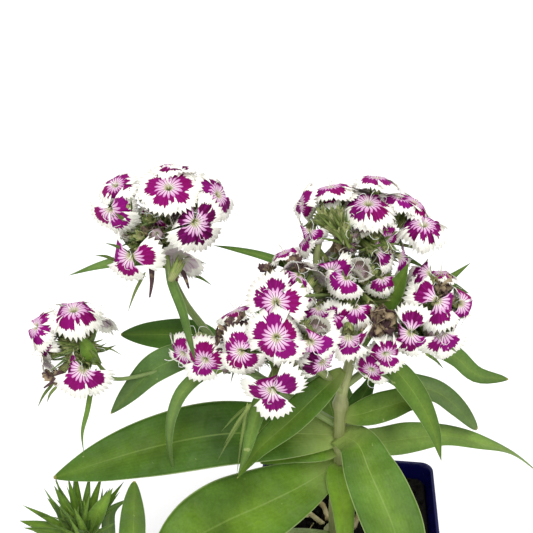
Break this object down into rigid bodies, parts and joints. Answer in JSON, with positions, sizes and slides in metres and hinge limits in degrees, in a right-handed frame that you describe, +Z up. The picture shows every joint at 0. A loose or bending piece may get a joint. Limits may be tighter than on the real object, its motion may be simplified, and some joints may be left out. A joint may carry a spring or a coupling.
{
  "type": "potted dianthus plant",
  "caption": "Bushy flowering dianthus with rounded heads of fringed white and magenta flowers and lance-shaped leaves, rooted in compost in a square blue nursery pot.",
  "frame": {"origin": "middle of the pot's flat underside", "axes": "+Z up, -Y towards the side the plant is looked at from, +X to the viewer's right; the pot's sides are square to X and Y"},
  "size_m": [0.2334, 0.126, 0.2759],
  "materials": {
    "pot_plastic": "glossy dark blue",
    "compost": "matt, crumbly, nearly black",
    "stems": "smooth waxy olive green",
    "straw": "dry pale straw",
    "petals": "soft matt petals, magenta with a white fringe",
    "calyces": "satin olive green",
    "leaves": "satin mid green with fine long veins",
    "bud_leaves": "satin mid green"
  },
  "bodies": {
    "root": {"pot": "pot_plastic", "root_crown": "stems", "compost": "compost", "main_stem": "stems", "left_branch": "stems", "outer_branch": "stems", "front_branch": "stems", "front_left_branch": "stems", "top_branch": "stems", "right_branch": "stems", "side_shoot_stem": "stems", "old_stem_long": "straw", "old_stem_short": "straw", "old_stem_upright": "straw", "left_flower_head": "petals", "outer_left_flower_head": "petals", "front_flower_head": "petals", "front_left_flower_head": "petals", "top_flower_head": "petals", "middle_flower_head": "petals", "right_flower_head": "petals", "bud_head": "bud_leaves", "leaf_low_left": "leaves", "leaf_low_front_left": "leaves", "leaf_low_front": "leaves", "leaf_hanging_front": "leaves", "leaf_low_right": "leaves", "leaf_short_left": "leaves", "leaf_short_right": "leaves", "leaf_back_right": "leaves", "leaf_under_front_head": "leaves", "leaf_narrow_under_front_head": "leaves", "leaf_twisted": "leaves", "leaf_broad_upper_left": "leaves", "leaf_hanging_left": "leaves", "leaf_hanging_right": "leaves", "leaf_arched_right": "leaves", "leaf_upper_right": "leaves", "leaf_standing": "leaves", "leaf_tip_upper_right": "leaves", "leaf_tip_lower_right": "leaves", "leaf_above_front_head": "leaves", "leaf_left_head_side": "leaves", "leaf_left_head_hanging": "leaves", "leaf_outer_head_hanging": "leaves", "leaf_outer_head_upright": "leaves", "leaf_top_head": "leaves", "leaf_back_low": "leaves", "leaf_back_upper": "leaves", "leaf_back_left": "leaves", "leaf_shoot_upright": "leaves", "leaf_shoot_folded": "leaves"}
  },
  "joints": []
}
